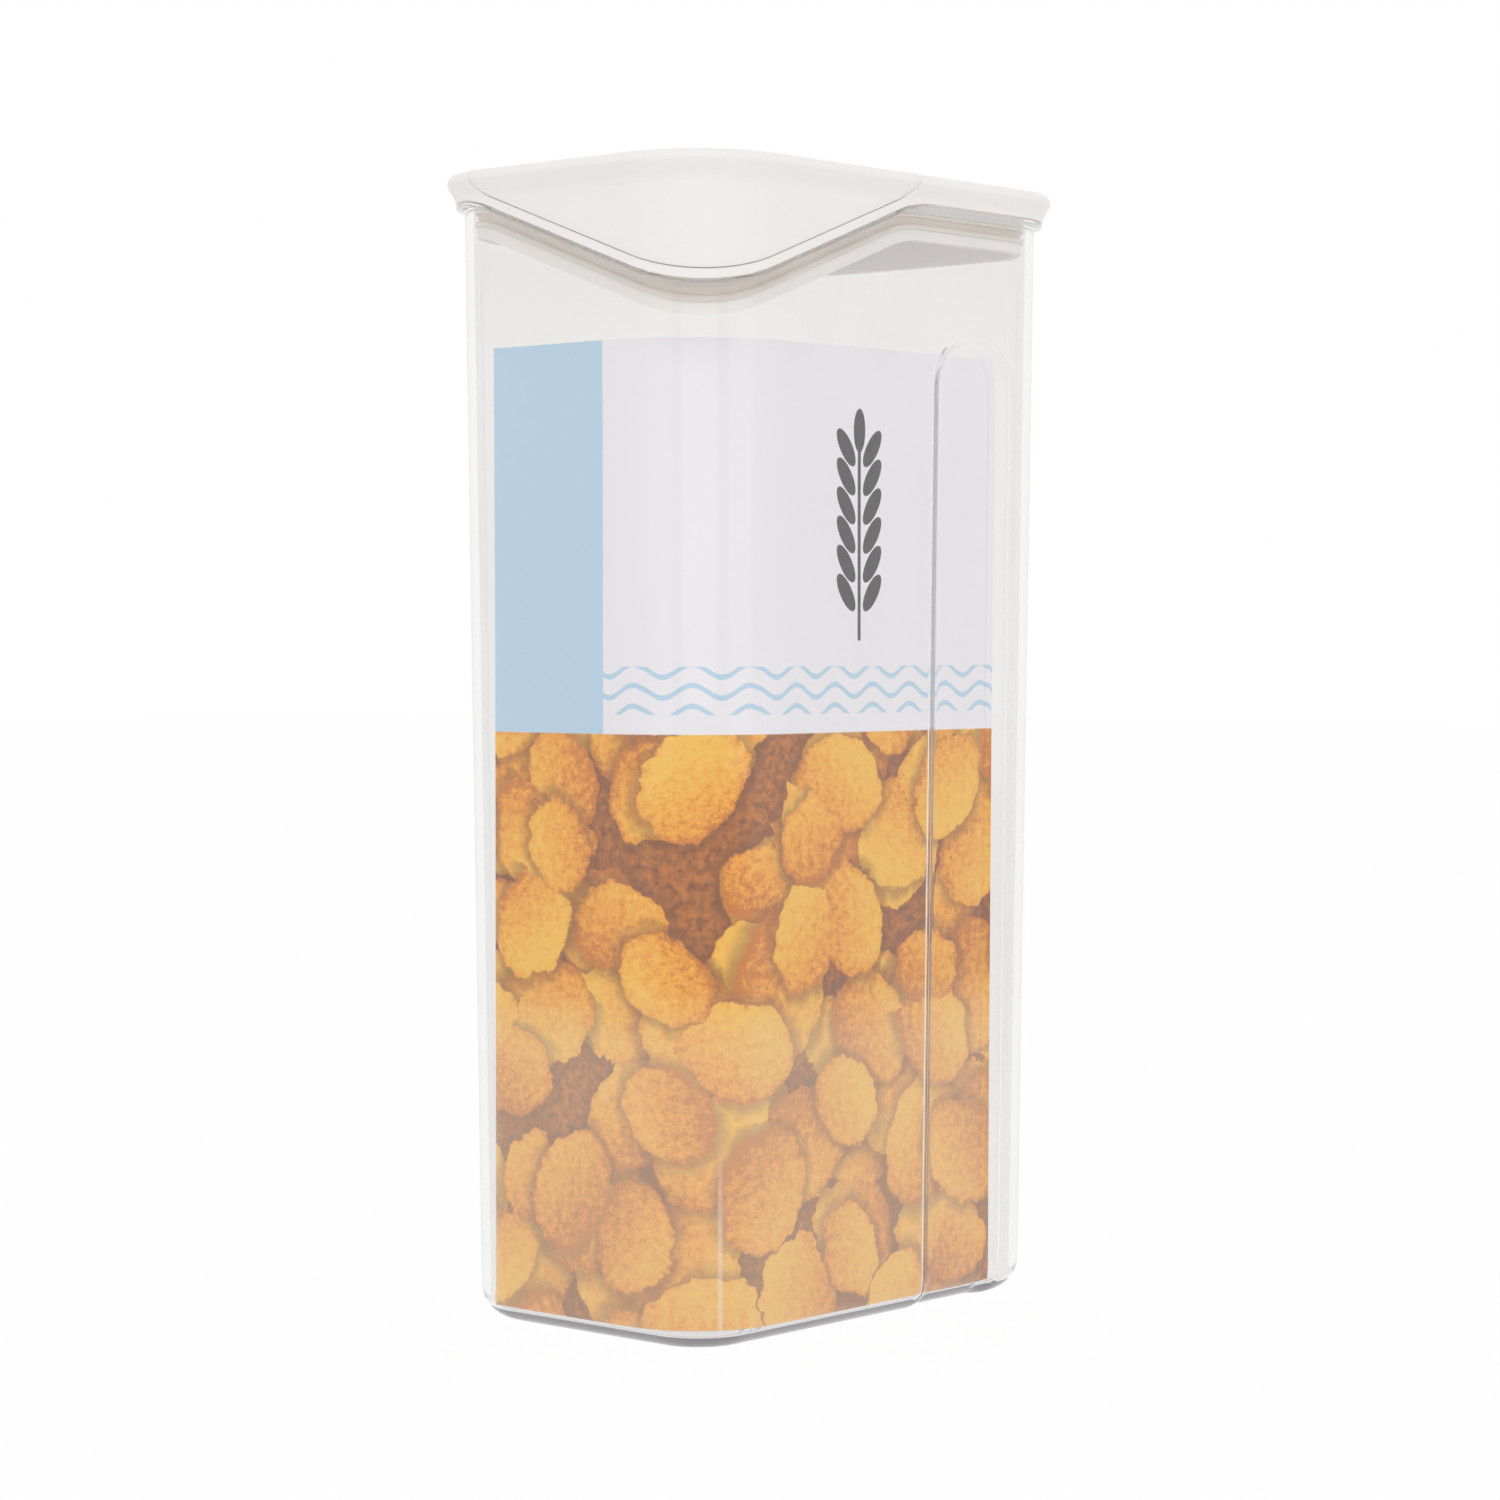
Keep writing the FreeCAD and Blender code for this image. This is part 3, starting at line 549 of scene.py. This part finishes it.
print_card, shader, place = start_material("print_card", Specular_IOR_Level=0.4)
card_map = place.node("ShaderNodeUVMap", {"uv_map": "card_map"}, {})
flat = card_map.node("ShaderNodeVectorMath", {"operation": "SCALE"}, {0: card_map, "Scale": 1 / MM})
card_along, card_height, _ = flat.parts()
crinkle_noise = flat.noise(0.16, 4, 0.6, "Color")
crinkle = crinkle_noise.node("ShaderNodeVectorMath", {"operation": "MULTIPLY_ADD"},
                             {0: crinkle_noise, 1: (CRINKLE, CRINKLE, 0.0),
                              2: (-CRINKLE / 2, -CRINKLE / 2, 0.0)})
texture = flat.noise(0.45, 5, 0.65)
fine = flat.noise(1.6, 3, 0.6)
grain = texture.ramp(0.3, 0.7).mix(GRAIN_GAP, GRAIN_SHADE)
for size, shift in GRAIN_LAYERS:
    inside, shadow, lift, edge = grain_layer(flat, size, shift, crinkle)
    grain = (shadow * 0.55).mix(grain, GRAIN_GAP)
    tone = lift + (texture - 0.5) * 1.7 + (fine - 0.5) * 1.1 - edge.ramp(0.8, 1.0) * 0.25
    colour = tone.node("ShaderNodeValToRGB", {"stops": [
        (0.1, GRAIN_SHADE), (0.5, GRAIN_GOLD), (0.95, GRAIN_LIGHT)]}, {0: tone})
    grain = inside.mix(grain, colour)


def ellipse_mask(x, y, half_long, half_short, turn):
    """Masks one leaf-shaped grain of the sprig, turned about its middle, in millimetres."""
    cos, sin = math.cos(turn), math.sin(turn)
    dx = card_along - x
    dy = card_height - y
    long = (dx * cos + dy * sin) / half_long
    short = (dy * cos - dx * sin) / half_short
    return 1 - (long * long + short * short).ramp(0.94, 1.06)


SPRIG_X = 118.0
SPRIG_FOOT = 176.0
STEM_TOP = 225.0
STEM_FADE = 0.5
LEAF_PAIRS = 6
LEAF_FIRST = 12.0
LEAF_PITCH = 7.4
LEAF_ASIDE = 5.2
LEAF_HALF_LONG = 5.6
LEAF_HALF_SHORT = 2.3
LEAF_LEAN = 35
TIP_HEIGHT = 229.5
ink = 1 - (card_along - SPRIG_X).absolute().ramp(0.45, 0.75)
ink = ink * card_height.ramp(SPRIG_FOOT - STEM_FADE, SPRIG_FOOT)
ink = ink * (1 - card_height.ramp(STEM_TOP, STEM_TOP + STEM_FADE))
for step in range(LEAF_PAIRS):
    for side in (-1, 1):
        leaf = ellipse_mask(SPRIG_X + side * LEAF_ASIDE, SPRIG_FOOT + LEAF_FIRST + LEAF_PITCH * step,
                            LEAF_HALF_LONG, LEAF_HALF_SHORT, math.radians(90 - side * LEAF_LEAN))
        ink = ink.larger(leaf)
ink = ink.larger(ellipse_mask(SPRIG_X, TIP_HEIGHT, LEAF_HALF_LONG, LEAF_HALF_SHORT, math.radians(90)))
panel = ink.mix(PANEL_WHITE, INK_GREY)

WAVE_BOTTOM = 157.0
WAVE_MIDDLE = 163.0
WAVE_TOP = 169.0
WAVE_SWING = 1.6
WAVE_TURN = 0.42
WAVE_PITCH = 2.6
turn = card_along * WAVE_TURN
wave = card_height - WAVE_MIDDLE - WAVE_SWING * turn.math("SINE", turn)
wave_lines = 1 - wave.math("PINGPONG", wave, WAVE_PITCH).ramp(0.55, 0.8)
wave_zone = card_height.ramp(WAVE_BOTTOM, WAVE_BOTTOM + PRINT_EDGE)
wave_zone = wave_zone * (1 - card_height.ramp(WAVE_TOP, WAVE_TOP + PRINT_EDGE))
panel = (wave_lines * wave_zone).mix(panel, BAND_BLUE)

band_mask = 1 - card_along.ramp(CARD_BAND_END - PRINT_EDGE / 2, CARD_BAND_END + PRINT_EDGE / 2)
panel = band_mask.mix(panel, BAND_BLUE)
# A pale veil over the low part of the grain field, fading out upward: painted reflection of the white floor
# in the tub's front wall.
painted_reflection = (1 - card_height.ramp(REFLECTION_FULL_BELOW, REFLECTION_TOP)) * REFLECTION_SHARE
grain = painted_reflection.mix(grain, GRAIN_PAINTED_REFLECTION)
# A pale line down the middle of the card's bend, fading out upward: painted highlight.
from_highlight_line = (card_along - BEND_HIGHLIGHT_LINE).absolute()
painted_highlight = (1 - from_highlight_line.ramp(0.2, 0.9)) * (1 - card_height.ramp(HIGHLIGHT_FULL_BELOW, HIGHLIGHT_TOP)) * HIGHLIGHT_SHARE
grain = painted_highlight.mix(grain, HIGHLIGHT_PALE)
field_mask = 1 - card_height.ramp(FIELD_TOP - PRINT_EDGE / 2, FIELD_TOP + PRINT_EDGE / 2)
feed(shader, "Base Color", field_mask.mix(panel, grain))
feed(shader, "Roughness", 0.28 + 0.12 * place.noise(35, 3))
feed_bump(shader, place.noise(22, 3), 0.12, 0.004)

card_back, shader, place = start_material("card_back", Specular_IOR_Level=0.3)
feed(shader, "Base Color", place.noise(300, 4).ramp(0.3, 0.7).mix(CARD_BACK, PANEL_WHITE))
feed(shader, "Roughness", 0.6 + 0.2 * place.noise(200, 3))
feed_bump(shader, place.noise(900, 3), 0.1, 0.0004)

card_mesh = bmesh.new()
length_layer = card_mesh.verts.layers.float.new("along")
card_rings = [card_ring(card_mesh, length_layer, station) for station in card_path()]
add_ring_faces(card_mesh, card_rings)
card_mesh.faces.new(card_rings[0])
card_mesh.faces.new(card_rings[-1])
write_card_map(card_mesh, length_layer)
card = finish_object("printed_insert", card_mesh, print_card)
card.data.materials.append(card_back)
# The back and the two upright ends, which look away from the pour corner, are plain card.
for face in card.data.polygons:
    face.material_index = int(face.normal.x + face.normal.y > 0.5)
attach(card, "container")
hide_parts("label_insert")

# Lid frame: one white moulding with the flared edge band, the rear plate, the sloped deck with its pour
# mouth, the plug that goes into the tub and two hinge lugs. It is pressed into the tub's rim.
LID_WHITE = (0.90, 0.87, 0.855)
LID_WHITE_COOL = (0.91, 0.885, 0.875)
JOIN_REACH = 0.002


def node_copy(node, name, material):
    """Makes a piece with a node's shape: its loose triangles joined, its smooth shading kept."""
    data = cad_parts[node].data.copy()
    data.name = name
    facing = data.attributes.new("facing", "FLOAT_VECTOR", "CORNER")
    for corner, normal in zip(facing.data, data.corner_normals):
        corner.vector = normal.vector
    mesh = bmesh.new()
    mesh.from_mesh(data)
    bmesh.ops.remove_doubles(mesh, verts=mesh.verts, dist=JOIN_REACH * MM)
    mesh.to_mesh(data)
    mesh.free()
    facing = data.attributes["facing"]
    data.normals_split_custom_set([corner.vector for corner in facing.data])
    data.attributes.remove(facing)
    return add_piece(name, data, material)


def satin_white(name, low, high):
    """Makes the satin white plastic: faint cloudy tone, fine moulded grain."""
    material, shader, place = start_material(name, Subsurface_Weight=0.15, Subsurface_Scale=0.003,
                                             Subsurface_Radius=(1.0, 0.9, 0.85), Specular_IOR_Level=0.45)
    feed(shader, "Base Color", place.noise(25, 4).ramp(0.3, 0.7).mix(low, high))
    feed(shader, "Roughness", 0.34 + 0.14 * place.noise(140, 4))
    feed_bump(shader, place.noise(1400, 3), 0.06, 0.0004)
    return material


lid_white = satin_white("lid_white", LID_WHITE, LID_WHITE_COOL)
lid = node_copy("lid_frame", "lid_body", lid_white)
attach(lid, "lid")
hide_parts("lid_frame")

# Lid seal: a translucent beige silicone ring with two fins, stretched into the groove of the lid's plug.
# It dips with the rim and closes against the inside of the tub's wall.
SEAL_TOP = 1.5
SEAL_HEIGHT = 4.45
SEAL_FIN = 1.3
SEAL_FACE = 2.7
SEAL_WEB = 3.7
SEAL_BACK = 4.9
FIN_EDGE = ((0.5, 0.0), (0.12, 0.12), (0.0, 0.45))
PLUG_RAKE = 0.6
SEAL_STEPS = 420
SEAL_DIP_FROM = 100.0
SEAL_DIP_TO = 110.0
SEAL_BEIGE = (0.77, 0.69, 0.63)
SEAL_PALE = (0.84, 0.77, 0.71)

seal_silicone, shader, place = start_material(
    "seal_silicone", Subsurface_Weight=0.4, Subsurface_Scale=0.004, Subsurface_Radius=(1.0, 0.9, 0.8),
    Specular_IOR_Level=0.4)
feed(shader, "Base Color", place.noise(40, 3).ramp(0.3, 0.7).mix(SEAL_BEIGE, SEAL_PALE))
feed(shader, "Roughness", 0.45 + 0.12 * place.noise(90, 3))
feed_bump(shader, place.noise(700, 2), 0.05, 0.0005)


def seal_fin(high):
    """Lists the rounded outline of one fin, from its top face round to its bottom face."""
    low = high - SEAL_FIN
    outline = [(SEAL_FACE + inset, high - drop) for inset, drop in FIN_EDGE]
    return outline + [(SEAL_FACE + inset, low + rise) for inset, rise in reversed(FIN_EDGE)]


def seal_profile():
    """Lists inset from the tub's outer face and height: a web with a fin along its top and its bottom."""
    top = RIM_HEIGHT - SEAL_TOP
    bottom = top - SEAL_HEIGHT
    profile = [(SEAL_BACK, bottom), (SEAL_BACK, top)]
    profile += seal_fin(top)
    profile += [(SEAL_WEB, top - SEAL_FIN), (SEAL_WEB, bottom + SEAL_FIN)]
    return profile + seal_fin(bottom + SEAL_FIN)


# The heights between which the dip sets in lie below the ring, so all of it dips with the rim.
seal_sizes = {
    "Steps": SEAL_STEPS, "Rake": PLUG_RAKE, "Groove Depth": 0.0,
    "Dip From": SEAL_DIP_FROM * MM, "Dip To": SEAL_DIP_TO * MM,
}
seal_mesh = sweep_round("lid_seal", seal_profile(), True, seal_sizes, seal_silicone)
lid_seal = finish_object("lid_seal", seal_mesh, seal_silicone)
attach(lid_seal, "lid")
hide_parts("lid_gasket")

# Corner flap: a hollow white moulding that closes the pour mouth and swings up on two moulded hinge stubs,
# which are snapped into the lid frame's lugs.
FLAP_WHITE = (0.90, 0.87, 0.86)
FLAP_WHITE_COOL = (0.91, 0.89, 0.885)

flap_white = satin_white("flap_white", FLAP_WHITE, FLAP_WHITE_COOL)
flap = node_copy("corner_flap", "pour_flap", flap_white)
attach(flap, "flap")
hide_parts("corner_flap")

# Flap seal: a flat ring of the same silicone, carried under the flap's skirt. It is pressed on the deck round
# the pour mouth when the flap is shut.
flap_seal = node_copy("flap_gasket", "flap_seal", seal_silicone)
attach(flap_seal, "flap")
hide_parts("flap_gasket")

# Studio: a white floor that keeps a soft shadow, an even white surround and three large soft lamps, which
# all point at the tub. Places and sizes here are in metres.
SURROUND = 0.85
FLOOR_SIZE = 6
FLOOR_DROP = 0.0005
FLOOR_WHITE_SHARE = 0.96
LAMP_AIM = Vector((0, 0, 0.2))


def white_to_view(tree, lit_shader, white_shader, share):
    """Mixes a lit shader with plain white where the camera sees it, also mirrored or through the tub."""
    path = tree.nodes.new("ShaderNodeLightPath")
    seen = Socket(tree, path.outputs["Is Camera Ray"])
    for name in ("Is Glossy Ray", "Is Transmission Ray"):
        seen = seen.larger(Socket(tree, path.outputs[name]))
    return seen.node("ShaderNodeMixShader", {}, {0: seen * share, 1: lit_shader, 2: white_shader})


world = bpy.data.worlds.new("surround")
bpy.context.scene.world = world
world.use_nodes = True
tree = world.node_tree
lit = Socket(tree, tree.nodes["Background"].outputs[0])
tree.nodes["Background"].inputs["Color"].default_value = (1.0, 0.995, 0.985, 1)
tree.nodes["Background"].inputs["Strength"].default_value = SURROUND
white = lit.node("ShaderNodeBackground", {}, {"Color": (1, 1, 1, 1), "Strength": 1.0})
view = white_to_view(tree, lit, white, 1.0)
tree.links.new(view.output, tree.nodes["World Output"].inputs["Surface"])

floor_white = bpy.data.materials.new("floor_white")
floor_white.use_nodes = True
tree = floor_white.node_tree
lit = Socket(tree, tree.nodes["Principled BSDF"].outputs[0])
tree.nodes["Principled BSDF"].inputs["Base Color"].default_value = (0.9, 0.9, 0.9, 1)
tree.nodes["Principled BSDF"].inputs["Roughness"].default_value = 0.9
white = lit.node("ShaderNodeEmission", {}, {"Color": (1, 1, 1, 1), "Strength": 1.0})
view = white_to_view(tree, lit, white, FLOOR_WHITE_SHARE)
tree.links.new(view.output, tree.nodes["Material Output"].inputs["Surface"])
floor_mesh = bmesh.new()
bmesh.ops.create_grid(floor_mesh, x_segments=1, y_segments=1, size=FLOOR_SIZE)
floor = finish_object("studio_floor", floor_mesh, floor_white)
floor.location.z = -FLOOR_DROP


def soft_lamp(name, place, size, power):
    """Hangs a square soft lamp that points at the tub."""
    data = bpy.data.lights.new(name, "AREA")
    data.size = size
    data.energy = power
    lamp = bpy.data.objects.new(name, data)
    lamp.location = place
    lamp.rotation_euler = (lamp.location - LAMP_AIM).to_track_quat("Z", "Y").to_euler()
    bpy.context.scene.collection.objects.link(lamp)


soft_lamp("key_lamp", (-1.35, -1.25, 0.9), 1.8, 4)
soft_lamp("left_lamp", (-2.1, 0.4, 0.7), 1.5, 1.6)
soft_lamp("right_lamp", (0.4, -2.1, 0.7), 1.5, 2)

camera_data = bpy.data.cameras.new("camera")
camera_data.lens = 89.2
camera_data.sensor_width = 36
camera = bpy.data.objects.new("camera", camera_data)
camera.location = (-0.7393, -0.6502, 0.1753)
camera.rotation_euler = (math.radians(90) - 0.029, 0, -0.848)
bpy.context.scene.collection.objects.link(camera)
bpy.context.scene.camera = camera
bpy.context.scene.view_settings.view_transform = "Standard"

bpy.context.view_layer.update()
